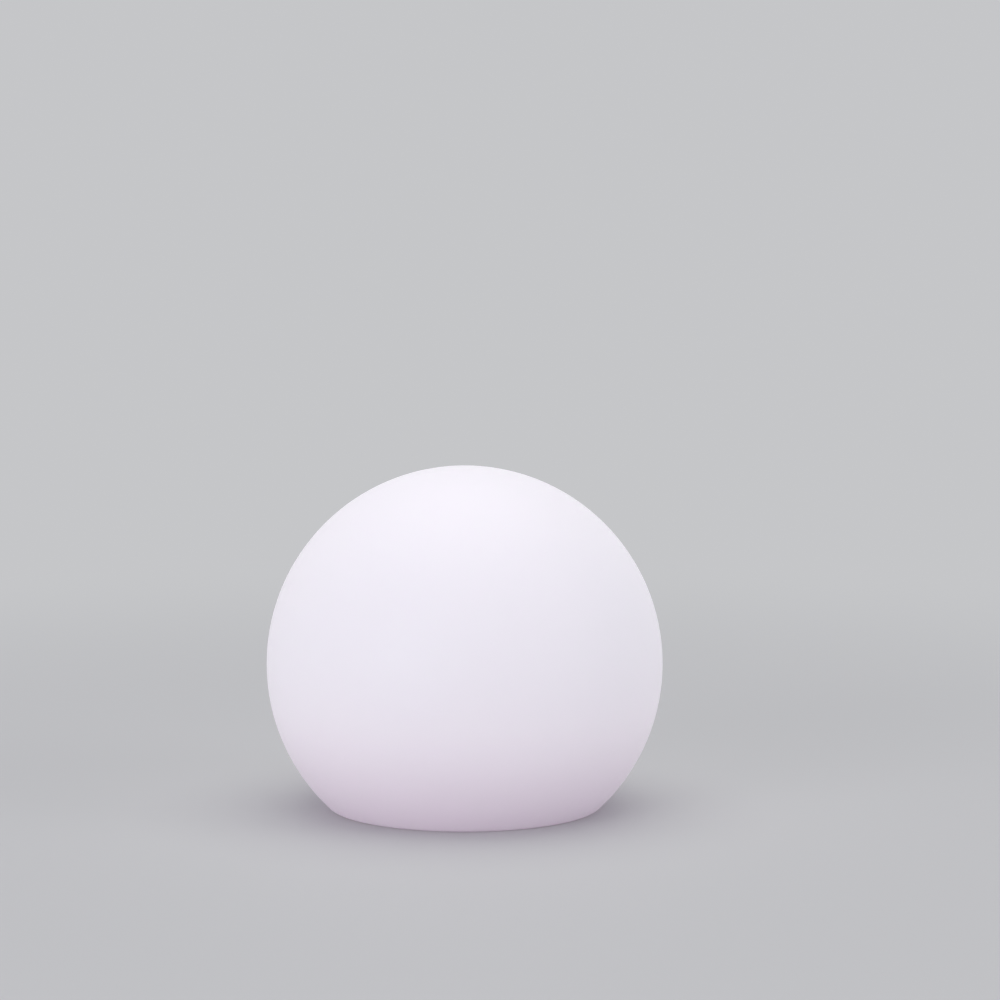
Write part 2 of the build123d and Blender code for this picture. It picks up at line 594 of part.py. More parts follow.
def make_indicator_lens():
    lens = disc(LENS_R, FLOOR_Z, BOARD_Z - LENS_TOP_GAP, 0, LENS_Y)
    return lens + disc(LENS_R + LENS_LIP, FLOOR_TOP_Z, FLOOR_TOP_Z + LENS_LIP_THICK, 0, LENS_Y)


# ---- Charging socket and flap --------------------------------------------------------------------
def make_charge_socket():
    body = disc(SOCKET_FLANGE_R, SOCKET_FLANGE_Z, SOCKET_FLANGE_Z + SOCKET_FLANGE_THICK, 0, SOCKET_Y)
    body = fillet(body.edges().group_by(Axis.Z)[0], SOCKET_FLANGE_THICK / 3)
    body += disc(SOCKET_BARREL_R, SOCKET_FLANGE_Z, SOCKET_TOP_Z, 0, SOCKET_Y)
    return body - disc(SOCKET_BORE_R, SOCKET_FLANGE_Z, SOCKET_FLANGE_Z + SOCKET_BORE_DEPTH, 0, SOCKET_Y)


def make_socket_contacts():
    """Centre pin in the bore, and the two tails that the leads are soldered to."""
    bore_end = SOCKET_FLANGE_Z + SOCKET_BORE_DEPTH
    pin = disc(SOCKET_PIN_R, SOCKET_FLANGE_Z + SOCKET_PIN_RECESS, bore_end, 0, SOCKET_Y)
    pin = fillet(pin.edges().group_by(Axis.Z)[0], SOCKET_PIN_R / 2)
    tail = (SOCKET_TAIL_WIDTH, SOCKET_TAIL_THICK, SOCKET_TAIL_LENGTH)
    return [pin] + [chip(tail, (side * SOCKET_TAIL_X, SOCKET_Y), SOCKET_TOP_Z) for side in (-1, 1)]


def make_socket_washer():
    inner = SOCKET_BARREL_R + SOCKET_HOLE_GAP
    return ring(inner, SOCKET_FLANGE_R, FLOOR_Z - WASHER_THICK, FLOOR_Z, 0, SOCKET_Y)


def make_socket_nut():
    hexagon = RegularPolygon(NUT_ACROSS_FLATS / 2, 6, major_radius=False)
    nut = Pos(0, SOCKET_Y, FLOOR_TOP_Z) * extrude(hexagon, NUT_THICK)
    bore = SOCKET_BARREL_R + SCREW_FIT_GAP
    return nut - disc(bore, FLOOR_TOP_Z, FLOOR_TOP_Z + NUT_THICK, 0, SOCKET_Y)


def make_port_flap():
    """Round flap with a stub that stops the bore, a pull tab, and a strap up to the hinge line."""
    flap = disc(FLAP_R, FLAP_Z, FLAP_TOP_Z, 0, SOCKET_Y)
    half_tab, half_strap = FLAP_TAB_WIDTH / 2, HINGE_STRAP_WIDTH / 2
    tab_end_y = SOCKET_Y + FLAP_R + FLAP_TAB
    flap += block((-half_tab, half_tab), (SOCKET_Y, tab_end_y), (FLAP_Z, FLAP_TOP_Z))
    strap_top = FLAP_Z + 2 * HINGE_KNUCKLE_R
    flap += block((-half_strap, half_strap), (FLAP_HINGE_Y, SOCKET_Y), (FLAP_Z, strap_top))
    knuckle = Rot(0, 90, 0) * Cylinder(HINGE_KNUCKLE_R, HINGE_STRAP_WIDTH)
    flap += Pos(0, FLAP_HINGE_Y, FLAP_HINGE_Z) * knuckle
    stub = Cone(FLAP_STUB_R, FLAP_STUB_TIP_R, FLAP_STUB_LENGTH, align=LOWER)
    return flap + Pos(0, SOCKET_Y, FLAP_TOP_Z) * stub


def anchor_y_range():
    front = FLAP_HINGE_Y - HINGE_KNUCKLE_R - HINGE_GAP
    return front - ANCHOR_DEPTH, front


def rivet_y():
    return sum(anchor_y_range()) / 2


def make_flap_anchor():
    """Rubber block that the flap hangs from, with a rivet that snaps through the floor."""
    half = ANCHOR_WIDTH / 2
    anchor = block((-half, half), anchor_y_range(), (FLAP_Z, FLOOR_Z))
    lower_front = anchor.edges().group_by(Axis.Z)[0].sort_by(Axis.Y)[-1]
    anchor = chamfer(lower_front, ANCHOR_CHAMFER)
    anchor = fillet(anchor.edges().filter_by(Axis.Z).group_by(Axis.Y)[0], ANCHOR_DEPTH / 3)
    anchor += disc(RIVET_R - SCREW_FIT_GAP, FLOOR_Z, FLOOR_TOP_Z, 0, rivet_y())
    return anchor + disc(RIVET_HEAD_R, FLOOR_TOP_Z, FLOOR_TOP_Z + RIVET_HEAD_THICK, 0, rivet_y())


# ---- Control board -------------------------------------------------------------------------------
def make_control_board():
    x_range = (-BOARD_HALF_X, BOARD_HALF_X)
    board = block(x_range, (BOARD_FRONT_Y, BOARD_BACK_Y), (BOARD_Z, BOARD_TOP_Z))
    board = fillet(board.edges().filter_by(Axis.Z), BOARD_SCREW_INSET)
    hole = SMALL_SCREW_R + SCREW_PASS_GAP
    return board - [disc(hole, BOARD_Z, BOARD_TOP_Z, x, y) for x, y in board_screw_spots()]


def make_board_chips():
    low = BOARD_TOP_Z
    capacitor = disc(CAPACITOR_R, low, low + CAPACITOR_HEIGHT, *CAPACITOR_XY)
    return [
        chip(CONTROLLER, CONTROLLER_XY, low),
        chip(CHARGER_CHIP, CHARGER_CHIP_XY, low),
        chip(INDUCTOR, INDUCTOR_XY, low),
        fillet(capacitor.edges().group_by(Axis.Z)[-1], CAPACITOR_R / 6),
    ]


def make_board_connectors():
    return [
        chip(CONNECTOR, CONNECTOR_XY, BOARD_TOP_Z),
        chip(LED_HEADER, (0, LED_HEADER_Y), BOARD_TOP_Z),
    ]


def make_board_screws():
    return [small_screw(BOARD_SCREW_LENGTH, x, y, BOARD_TOP_Z) for x, y in board_screw_spots()]


# ---- Battery, frame and clamps -------------------------------------------------------------------
def along_x(radius, low, high):
    """Cylinder on the battery's axis, between two values of X."""
    return Pos(low, 0, CELL_Z) * Rot(0, 90, 0) * Cylinder(radius, high - low, align=LOWER)


def make_battery_cell():
    cell = along_x(CELL_R, -CELL_LENGTH / 2, CELL_LENGTH / 2)
    return fillet(cell.edges().filter_by(GeomType.CIRCLE), CELL_R / 12)


def make_end_tab():
    half = END_TAB_WIDTH / 2
    return block((END_TAB_X, END_BOARD_X), (-half, half), (CELL_Z - half, CELL_Z + half))


def make_end_board():
    return along_x(END_BOARD_R, END_BOARD_X, END_BOARD_X + END_BOARD_THICK)


def clamp_screw_spots():
    return [(side * SADDLE_X, edge * CLAMP_SCREW_Y) for side in (-1, 1) for edge in (-1, 1)]


def saddle_x_range(side):
    middle = side * SADDLE_X
    return middle - SADDLE_WIDTH / 2, middle + SADDLE_WIDTH / 2


def make_inner_frame():
    """Plate that carries the light board, with saddles that the battery is clamped up into."""
    frame = disc(FRAME_R, FRAME_Z, FRAME_TOP_Z)
    for side in (-1, 1):
        frame += block(saddle_x_range(side), (-SADDLE_HALF_Y, SADDLE_HALF_Y), (CELL_Z, FRAME_Z))
    frame += [disc(LED_BOSS_R, FRAME_Z - LED_BOSS_LENGTH, FRAME_Z, x, y) for x, y in led_screw_spots()]
    frame -= along_x(CELL_R + CELL_FIT_GAP, -CELL_LENGTH, CELL_LENGTH)
    frame -= [disc(SCREW_R + SCREW_PASS_GAP, FRAME_Z, FRAME_TOP_Z, x, y) for x, y in frame_screw_spots()]
    thread_hole = SMALL_SCREW_R + SCREW_FIT_GAP
    led_hole_z = FRAME_TOP_Z - (LED_SCREW_LENGTH - LED_BOARD_THICK) - SCREW_FIT_GAP
    frame -= [disc(thread_hole, led_hole_z, FRAME_TOP_Z, x, y) for x, y in led_screw_spots()]
    clamp_hole_z = CELL_Z + CLAMP_SCREW_LENGTH - CLAMP_EAR_THICK + SCREW_TIP_ROOM
    frame -= [disc(thread_hole, CELL_Z, clamp_hole_z, x, y) for x, y in clamp_screw_spots()]
    return frame - disc(WIRE_HOLE_R, FRAME_Z, FRAME_TOP_Z, 0, WIRE_HOLE_Y)


def make_battery_clamps():
    """Two half hoops below the battery, each with an ear on both sides."""
    ear_z = CELL_Z - CLAMP_EAR_THICK
    hole_r = SMALL_SCREW_R + SCREW_PASS_GAP
    holes = [disc(hole_r, ear_z, CELL_Z, x, y) for x, y in clamp_screw_spots()]
    clamps = []
    for side in (-1, 1):
        x_range = saddle_x_range(side)
        y_range = (-SADDLE_HALF_Y, SADDLE_HALF_Y)
        inner_r = CELL_R + CELL_FIT_GAP
        clamp = along_x(inner_r + CLAMP_THICK, *x_range)
        clamp += block(x_range, y_range, (ear_z, CELL_Z))
        clamp -= along_x(inner_r, *x_range)
        clamp -= block(x_range, y_range, (CELL_Z, CELL_Z + inner_r + CLAMP_THICK))
        clamps.append(clamp - holes)
    return clamps


def make_clamp_screws():
    """Screws that point up, from below the clamps."""
    shape = Rot(180, 0, 0) * small_screw(CLAMP_SCREW_LENGTH, 0, 0, 0)
    return [Pos(x, y, CELL_Z - CLAMP_EAR_THICK) * shape for x, y in clamp_screw_spots()]


def make_frame_screws():
    return [large_screw(FRAME_SCREW_LENGTH, x, y, FRAME_TOP_Z) for x, y in frame_screw_spots()]


# ---- Light board ---------------------------------------------------------------------------------
def led_screw_spots():
    return [polar(LED_SCREW_PITCH_R, angle) for angle in LED_SCREW_ANGLES]


def make_led_board():
    board = disc(LED_BOARD_R, FRAME_TOP_Z, LED_BOARD_TOP_Z)
    hole = SMALL_SCREW_R + SCREW_PASS_GAP
    return board - [disc(hole, FRAME_TOP_Z, LED_BOARD_TOP_Z, x, y) for x, y in led_screw_spots()]


def make_led_chips():
    """Square light chips with a round window, on two circles."""
    top = LED_BOARD_TOP_Z + LED_HEIGHT
    shape = Pos(0, 0, LED_BOARD_TOP_Z) * Box(LED_SIDE, LED_SIDE, LED_HEIGHT, align=LOWER)
    shape -= disc(LED_WINDOW_R, top - LED_WINDOW_DEPTH, top)
    chips = []
    for count, radius in ((OUTER_LEDS, OUTER_LED_RING_R), (INNER_LEDS, INNER_LED_RING_R)):
        for k in range(count):
            chips.append(Rot(0, 0, 360.0 * k / count) * Pos(radius, 0, 0) * shape)
    return chips


def make_remote_receiver():
    body = chip((RECEIVER_WIDTH, RECEIVER_DEPTH, RECEIVER_HEIGHT), (0, 0), LED_BOARD_TOP_Z)
    return body + Pos(0, 0, LED_BOARD_TOP_Z + RECEIVER_HEIGHT) * Sphere(RECEIVER_LENS_R)


def make_led_board_screws():
    return [small_screw(LED_SCREW_LENGTH, x, y, LED_BOARD_TOP_Z) for x, y in led_screw_spots()]


# ---- Dome ----------------------------------------------------------------------------------------
def make_dome_gasket():
    gasket = ring(DOME_R - DOME_WALL, SKIRT_R, RIM_Z, DOME_FLANGE_Z)
    hole = SCREW_R + SCREW_PASS_GAP
    return gasket - [disc(hole, RIM_Z, DOME_FLANGE_Z, x, y) for x, y in boss_spots()]


def make_diffuser_dome():
    top = DOME_FLANGE_Z + DOME_HEIGHT
    outer = rounded(strip((0, DOME_R), (DOME_FLANGE_Z, top)), [(DOME_R, top)], DOME_EDGE_R)
    inner_r, inner_top = DOME_R - DOME_WALL, top - DOME_WALL
    inner = strip((0, inner_r), (DOME_FLANGE_Z, inner_top))
    inner = rounded(inner, [(inner_r, inner_top)], DOME_EDGE_R - DOME_WALL)
    section = outer + strip((0, SKIRT_R), (DOME_FLANGE_Z, DOME_FLANGE_TOP_Z)) - inner
    section = rounded(section, [(SKIRT_R, DOME_FLANGE_TOP_Z)], DOME_FLANGE_THICK / 3)
    z_range = (DOME_FLANGE_Z, DOME_FLANGE_TOP_Z)
    return turned(section) - [disc(SCREW_R + SCREW_PASS_GAP, *z_range, x, y) for x, y in boss_spots()]


def make_dome_screws():
    return [large_screw(DOME_SCREW_LENGTH, x, y, DOME_FLANGE_TOP_Z) for x, y in boss_spots()]


# ---- Wires inside the core -----------------------------------------------------------------------
def make_led_leads():
    """Four wires from the control board's header, through the frame, to pads on the light board."""
    leads = []
    for k in range(LED_WIRES):
        x = (k - (LED_WIRES - 1) / 2) * LED_WIRE_PITCH
        pad_y = LED_BOARD_R - LED_PAD_INSET
        start_z = BOARD_TOP_Z + LED_HEADER[2]
        crest_z = LED_BOARD_TOP_Z + LED_WIRE_RISE
        points = [
            (x, LED_HEADER_Y, start_z),
            (x, LED_HEADER_Y, start_z + LED_WIRE_STRAIGHT),
            (x, WIRE_HOLE_Y, FRAME_Z - LED_WIRE_STRAIGHT),
            (x, WIRE_HOLE_Y, crest_z),
            (x, pad_y, crest_z),
            (x, pad_y, LED_BOARD_TOP_Z),
        ]
        leads.append(wire(points, LED_WIRE_BENDS))
    return leads


def make_battery_leads():
    """Two wires from the battery's end board to the connector on the control board."""
    face_x = END_BOARD_X + END_BOARD_THICK
    connector_top = BOARD_TOP_Z + CONNECTOR[2]
    leads = []
    for k, (pad_y, pad_drop, lane_offset) in enumerate(BATTERY_LEAD_ROUTES):
        pad_z = CELL_Z - pad_drop
        turn_x = face_x + BATTERY_LEAD_REACH + k * (2 * WIRE_R + BATTERY_LEAD_GAP)
        connector_x, connector_y = CONNECTOR_XY
        lane_y = connector_y + lane_offset
        lane_z = connector_top + BATTERY_LEAD_RISE
        points = [
            (face_x, pad_y, pad_z),
            (turn_x, pad_y, pad_z),
            (turn_x, lane_y, lane_z),
            (connector_x, lane_y, lane_z),
            (connector_x, lane_y, connector_top),
        ]
        leads.append(wire(points, BATTERY_LEAD_BENDS))
    return leads


def make_socket_leads():
    """Two wires from the socket's tails to pads on the control board."""
    tail_top = SOCKET_TOP_Z + SOCKET_TAIL_LENGTH
    crest_z = tail_top + SOCKET_LEAD_RISE
    leads = []
    for side in (-1, 1):
        pad = (side * SOCKET_PAD_X, BOARD_FRONT_Y + SOCKET_PAD_INSET)
        points = [
            (side * SOCKET_TAIL_X, SOCKET_Y, tail_top),
            (side * SOCKET_TAIL_X, SOCKET_Y, crest_z),
            (*pad, crest_z),
            (*pad, BOARD_TOP_Z),
        ]
        leads.append(wire(points, SOCKET_LEAD_BENDS))
    return leads


PIECES = {
    "globe_shell": make_globe_shell,
    "seal_ring": make_seal_ring,
    "core_housing": make_core_housing,
    "plate_gasket": make_plate_gasket,
    "base_plate": make_base_plate,
    "plate_screws": make_plate_screws,
    "hanging_loop": make_hanging_loop,
    "power_button": make_power_button,
    "button_seal": make_button_seal,
    "push_switch": make_push_switch,
    "switch_plunger": make_switch_plunger,
    "indicator_lens": make_indicator_lens,
    "charge_socket": make_charge_socket,
    "socket_contacts": make_socket_contacts,
    "socket_washer": make_socket_washer,
    "socket_nut": make_socket_nut,
    "port_flap": make_port_flap,
    "flap_anchor": make_flap_anchor,
    "control_board": make_control_board,
    "board_chips": make_board_chips,
    "board_connectors": make_board_connectors,
    "board_screws": make_board_screws,
    "battery_cell": make_battery_cell,
    "battery_end_tab": make_end_tab,
    "battery_end_board": make_end_board,
    "battery_clamps": make_battery_clamps,
    "clamp_screws": make_clamp_screws,
    "inner_frame": make_inner_frame,
    "frame_screws": make_frame_screws,
    "led_board": make_led_board,
    "led_chips": make_led_chips,
    "led_board_screws": make_led_board_screws,
    "remote_receiver": make_remote_receiver,
    "diffuser_dome": make_diffuser_dome,
    "dome_gasket": make_dome_gasket,
    "dome_screws": make_dome_screws,
    "led_leads": make_led_leads,
    "battery_leads": make_battery_leads,
    "socket_leads": make_socket_leads,
}


def main():
    os.makedirs("parts", exist_ok=True)
    for name, make in PIECES.items():
        shape = make()
        solids = shape if isinstance(shape, list) else [shape]
        export_step(Compound([s for part in solids for s in part.solids()]), f"parts/{name}.step")


main()
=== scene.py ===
"""Looks of a rechargeable garden globe light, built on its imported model.

Metres, +Z up, in the model's own frame: the ball stands on z = 0 with its axis on Z.
"""

import json
from math import asin, atan2, cos, hypot, pi, radians, sin, sqrt

import bmesh
import bpy
from mathutils import Euler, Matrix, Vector


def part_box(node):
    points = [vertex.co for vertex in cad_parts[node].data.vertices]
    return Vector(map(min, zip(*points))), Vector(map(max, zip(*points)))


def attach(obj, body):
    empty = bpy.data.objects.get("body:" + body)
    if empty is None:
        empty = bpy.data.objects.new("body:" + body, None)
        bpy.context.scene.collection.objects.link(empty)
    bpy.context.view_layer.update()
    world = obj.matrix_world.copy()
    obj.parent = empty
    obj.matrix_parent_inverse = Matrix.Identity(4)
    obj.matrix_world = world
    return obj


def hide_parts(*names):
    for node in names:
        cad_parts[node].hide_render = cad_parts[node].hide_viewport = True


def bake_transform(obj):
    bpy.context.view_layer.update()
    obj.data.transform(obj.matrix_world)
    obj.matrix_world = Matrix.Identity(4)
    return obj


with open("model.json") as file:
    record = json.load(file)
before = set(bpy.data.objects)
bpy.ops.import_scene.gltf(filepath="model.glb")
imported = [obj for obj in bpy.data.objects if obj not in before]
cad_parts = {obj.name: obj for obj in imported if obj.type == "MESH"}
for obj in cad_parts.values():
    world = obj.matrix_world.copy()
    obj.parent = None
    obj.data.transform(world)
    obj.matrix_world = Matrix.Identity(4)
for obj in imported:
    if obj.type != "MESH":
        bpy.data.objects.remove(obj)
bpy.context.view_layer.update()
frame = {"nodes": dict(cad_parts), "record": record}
NODES = frame["nodes"]
MM = 0.001

# ---- Ball, in metres -----------------------------------------------------------------------------
BALL_R = 100 * MM
BALL_CENTRE_Z = 73.5 * MM
BALL_WALL = 3 * MM
FOOT_EDGE_R = 6 * MM
WELL_R = 57 * MM
WELL_EDGE_R = 2 * MM
SEAT_Z = 10 * MM
NECK_R = 46 * MM
NECK_TOP_Z = 30 * MM
NECK_EDGE_R = 0.9 * MM
THREAD_PITCH = 6 * MM
THREAD_TURNS = 1.5
THREAD_Z = 14.5 * MM
THREAD_DEPTH = 2 * MM
THREAD_ROOT_SINK = 0.6 * MM
THREAD_ROOT = 2.04 * MM
THREAD_CREST = 1.0 * MM
BALL_STEPS = 192  # round the axis
OUTER_STEPS = 110  # along the half section: outer face, inner face and rounded edges
INNER_STEPS = 80
FOOT_EDGE_STEPS = 12
INNER_EDGE_STEPS = 8
WELL_EDGE_STEPS = 8
NECK_EDGE_STEPS = 5

# ---- Rubber flap over the charging socket --------------------------------------------------------
FLAP_Y = -25.5 * MM
FLAP_R = 7.5 * MM
FLAP_Z = 8.5 * MM
FLAP_THICK = 1.8 * MM
FLAP_RIM_R = 0.5 * MM
FLAP_RIM_STEPS = 6
FLAP_STEPS = 64
STUB_R = 2.7 * MM
STUB_TIP_R = 2.3 * MM
STUB_LENGTH = 2 * MM
FINGER_DIP_R = 5.2 * MM  # shallow dish in the flap's outer face
FINGER_DIP_DEPTH = 0.35 * MM
TAB_WIDTH = 6 * MM
TAB_END_Y = -16 * MM
TAB_ROOT_R = 6 * MM  # where the tab and the strap leave the disc, from its axis
TAB_INSET = 0.05 * MM  # tab's faces inside the disc's
TAB_BEVEL = 0.5 * MM
TAB_RIBS = 3
TAB_RIB_PITCH = 1.1 * MM
TAB_RIB_MARGIN = 0.6 * TAB_RIB_PITCH  # from the tab's end to the first rib
TAB_RIB_R = 0.28 * MM
TAB_RIB_HALF_LENGTH = 0.4 * TAB_WIDTH
STRAP_WIDTH = 5 * MM
STRAP_THICK = 1 * MM
STRAP_WAIST = 0.6 * MM  # thickness at the hinge line
STRAP_BEVEL = 0.25 * MM
STRAP_SLICES = 18
HINGE_Y = -33.8 * MM
BEND_REACH = 0.9 * MM  # how far to each side of the hinge line the strap is thinned
ANCHOR_Y = -35.2 * MM

# ---- Camera --------------------------------------------------------------------------------------
LENS = 162.0
SENSOR = 36.0
FRAME_PX = 1000.0
BALL_PX = (464.7, 663.2)  # centre of the ball's outline in the picture
SIGHT_ELEVATION = radians(9.1)  # line of sight to the ball's centre, below the horizon
SIGHT_LENGTH = 2.277

# ---- Wire colours --------------------------------------------------------------------------------
BLACK_WIRE = (0.02, 0.02, 0.02)
RED_WIRE = (0.45, 0.02, 0.02)
BLUE_WIRE = (0.03, 0.08, 0.42)
GREEN_WIRE = (0.03, 0.26, 0.08)
WHITE_WIRE = (0.75, 0.75, 0.74)
HALF_STEP = 0.02 * MM  # half the width of the change from one wire's colour to the next one's
BLACK_TURN_X = 36.9 * MM  # the battery's black wire runs beyond this where it turns
BLACK_END_Y = -12.3 * MM  # and before this at the connector
BLACK_START_Y = -5.8 * MM  # and past this, below the red one, at the battery
BLACK_START_Z = 30.85 * MM

# ---- Studio --------------------------------------------------------------------------------------
FLOOR_R = 6.0
FLOOR_SEGMENTS = 96
FADE_R = (0.25, 0.9)  # the floor's own grey fades into the backdrop's between these radii
FLOOR_SINK = 0.1 * MM  # below the foot, so that their faces don't lie in one plane
FLOOR_GREY = (0.66, 0.66, 0.665)
WINDOW_R = (62 * MM, 67 * MM)  # light comes up to the base through the floor within these radii
BACK_GREY = (0.56, 0.565, 0.58)
LAMP_TARGET = (0, 0, 0.08)
WHITE_LIGHT = (1.0, 1.0, 1.0)
LAMPS = (  # name, place, target, diameter, watts, colour
    ("overhead", (0.05, 0.1, 1.6), LAMP_TARGET, 1.8, 9, (1.0, 0.98, 0.92)),
    ("front_left", (-1.4, -1.85, 0.4), LAMP_TARGET, 1.4, 12.5, (0.98, 0.96, 1.0)),
    ("right", (1.7, -0.7, 1.0), LAMP_TARGET, 1.0, 3, WHITE_LIGHT),
    ("below", (0.2, -0.4, -1.0), (0, 0, 0), 0.7, 5, WHITE_LIGHT),
)


# ---- Mesh helpers --------------------------------------------------------------------------------
class Outline:
    """Half section in the XZ plane, drawn as one chain of edges and then turned about Z."""

    def __init__(self, r, z):
        self.mesh = bmesh.new()
        self.end = self.mesh.verts.new((r, 0, z))

    def line(self, r, z):
        made = bmesh.ops.extrude_vert_indiv(self.mesh, verts=[self.end])
        self.end = made["verts"][0]
        self.end.co = (r, 0, z)

    def arc(self, r, z, angle, steps):
        """Arc about (r, z). A positive angle turns from up towards outwards."""
        made = bmesh.ops.spin(
            self.mesh, geom=[self.end], cent=(r, 0, z), axis=(0, 1, 0), angle=angle, steps=steps
        )
        self.end = [g for g in made["geom_last"] if isinstance(g, bmesh.types.BMVert)][0]

    def turn(self, steps):
        chain = self.mesh.verts[:] + self.mesh.edges[:]
        full = {"cent": (0, 0, 0), "axis": (0, 0, 1), "angle": 2 * pi}
        bmesh.ops.spin(self.mesh, geom=chain, steps=steps, use_merge=True, **full)
        return self.mesh


def piece(name, mesh, slot, body=None, sharp=40, nodes=()):
    """Object at the origin from a finished bmesh, riding on a body and standing for CAD nodes."""
    bmesh.ops.remove_doubles(mesh, verts=mesh.verts, dist=1e-6)
    bmesh.ops.dissolve_degenerate(mesh, edges=mesh.edges, dist=1e-7)
    bmesh.ops.recalc_face_normals(mesh, faces=mesh.faces)
    data = bpy.data.meshes.new(name)
    mesh.to_mesh(data)
    mesh.free()
    for face in data.polygons:
        face.use_smooth = True
    data.set_sharp_from_angle(angle=radians(sharp))
    made = bpy.data.objects.new(name, data)
    bpy.context.collection.objects.link(made)
    data.materials.append(FINISHES[slot].material)
    if body:
        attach(made, body)
    if nodes:
        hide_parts(*nodes)
    return made


# ---- Finishes ------------------------------------------------------------------------------------
class Finish:
    """Node-based finish: one Principled shader, with its patterns on Object coordinates."""

    def __init__(self, name, colour, roughness, **sockets):
        self.material = bpy.data.materials.new(name)
        self.material.use_nodes = True
        self.tree = self.material.node_tree
        self.shader = self.tree.nodes["Principled BSDF"]
        self.coords = self.node("ShaderNodeTexCoord")
        self.set("Base Color", (*colour, 1))
        self.set("Roughness", roughness)
        for words, value in sockets.items():
            self.set(words.replace("_", " ").title().replace("Ior", "IOR"), value)

    def node(self, kind, **values):
        made = self.tree.nodes.new(kind)
        for key, value in values.items():
            setattr(made, key, value)
        return made

    def set(self, socket, value):
        self.shader.inputs[socket].default_value = value

    def link(self, source, target):
        self.tree.links.new(source, target)

    def feed(self, source, socket):
        self.link(source, self.shader.inputs[socket])

    def space(self, stretch=(1, 1, 1)):
        mapping = self.node("ShaderNodeMapping")
        mapping.inputs["Scale"].default_value = stretch
        self.link(self.coords.outputs["Object"], mapping.inputs["Vector"])
        return mapping.outputs["Vector"]

    def grain(self, size, detail=2.0, stretch=(1, 1, 1)):
        """Noise whose blotches are about size metres across."""
        noise = self.node("ShaderNodeTexNoise")
        noise.inputs["Scale"].default_value = 1 / size
        noise.inputs["Detail"].default_value = detail
        self.link(self.space(stretch), noise.inputs["Vector"])
        return noise.outputs["Fac"]

    def cells(self, size):
        """Distance to the nearest of the points scattered about size metres apart."""
        cells = self.node("ShaderNodeTexVoronoi")
        cells.inputs["Scale"].default_value = 1 / size
        self.link(self.space(), cells.inputs["Vector"])
        return cells.outputs["Distance"]

    def axis(self, name, output="Object"):
        parts = self.node("ShaderNodeSeparateXYZ")
        self.link(self.coords.outputs[output], parts.inputs["Vector"])
        return parts.outputs[name]

    def span(self, value, low, high, start=0.0, end=1.0):
        """Maps low..high to start..end, smoothly and clamped."""
        ramp = self.node("ShaderNodeMapRange", interpolation_type="SMOOTHSTEP")
        for name, number in (("From Min", low), ("From Max", high), ("To Min", start), ("To Max", end)):
            ramp.inputs[name].default_value = number
        self.link(value, ramp.inputs["Value"])
        return ramp.outputs["Result"]

    def past(self, axis, border):
        """1 past a border along an axis, and 0 before it."""
        return self.span(self.axis(axis), border - HALF_STEP, border + HALF_STEP)

    def before(self, axis, border):
        return self.span(self.axis(axis), border + HALF_STEP, border - HALF_STEP)

    def math(self, operation, first, second):
        made = self.node("ShaderNodeMath", operation=operation)
        for source, socket in ((first, made.inputs[0]), (second, made.inputs[1])):
            if isinstance(source, (int, float)):
                socket.default_value = source
            else:
                self.link(source, socket)
        return made.outputs["Value"]

    def mix(self, factor, first, second):
        """Mixes two colours, each a tuple or another node's output."""
        made = self.node("ShaderNodeMix", data_type="RGBA")
        self.link(factor, made.inputs["Factor"])
        for source, socket in ((first, made.inputs[6]), (second, made.inputs[7])):
            if isinstance(source, tuple):
                socket.default_value = (*source, 1)
            else:
                self.link(source, socket)
        return made.outputs[2]

    def bump(self, height, depth):
        """Relief that is depth metres deep."""
        relief = self.node("ShaderNodeBump")
        relief.inputs["Distance"].default_value = depth
        relief.inputs["Strength"].default_value = 1.0
        self.link(height, relief.inputs["Height"])
        earlier = self.shader.inputs["Normal"].links
        if earlier:
            self.link(earlier[0].from_socket, relief.inputs["Normal"])
        self.feed(relief.outputs["Normal"], "Normal")


def milky_polyethylene():
    """Thin-walled ball: satin, milky, faintly lilac, with a dim painted glow that evens out its shading,
    and painted shade that makes it darker and pinker towards the foot.
    """
    # Emission strength: a dim painted glow that brightens the shaded side and flattens the ball's shading
    made = Finish("globe_polyethylene", (0.75, 0.74, 0.77), 0.46, subsurface_weight=0.65,
                  subsurface_scale=5 * MM, subsurface_radius=(1.0, 0.9, 1.0), emission_strength=0.27)
    made.set("Specular IOR Level", 0.2)
    tint = made.mix(made.grain(90 * MM, 1.0), (0.75, 0.74, 0.78), (0.755, 0.725, 0.76))
    # Painted shade: the base colour turns darker and pinker towards the bottom, where the ball is shaded
    low = made.span(made.axis("Z"), 95 * MM, 5 * MM)
    made.feed(made.mix(low, tint, (0.73, 0.665, 0.72)), "Base Color")
    # Painted shade: the glow dims and turns pinker from halfway down to the foot
    painted_shade_foot = made.span(made.axis("Z"), 60 * MM, 0)
    made.feed(made.mix(painted_shade_foot, (0.98, 0.95, 1.0), (0.55, 0.48, 0.56)), "Emission Color")
    made.feed(made.span(made.grain(6 * MM, 3.0), 0.3, 0.7, 0.42, 0.50), "Roughness")
    made.bump(made.grain(0.7 * MM, 3.0), 0.006 * MM)
    made.bump(made.grain(14 * MM, 1.0), 0.05 * MM)
    return made


def moulded_plastic(name, colour, roughness=0.5, texture=0.35 * MM, depth=0.02 * MM):
    """Opaque plastic from a spark-eroded mould: fine pits, faint cloudiness, duller scuffs."""
    made = Finish(name, colour, roughness)
    darker = tuple(0.96 * c for c in colour)
    made.feed(made.mix(made.span(made.grain(9 * MM, 3.0), 0.35, 0.7), colour, darker), "Base Color")
    made.feed(made.span(made.grain(2 * MM, 4.0), 0.3, 0.7, roughness - 0.05, roughness + 0.07), "Roughness")
    made.bump(made.grain(texture, 3.0), depth)
    return made


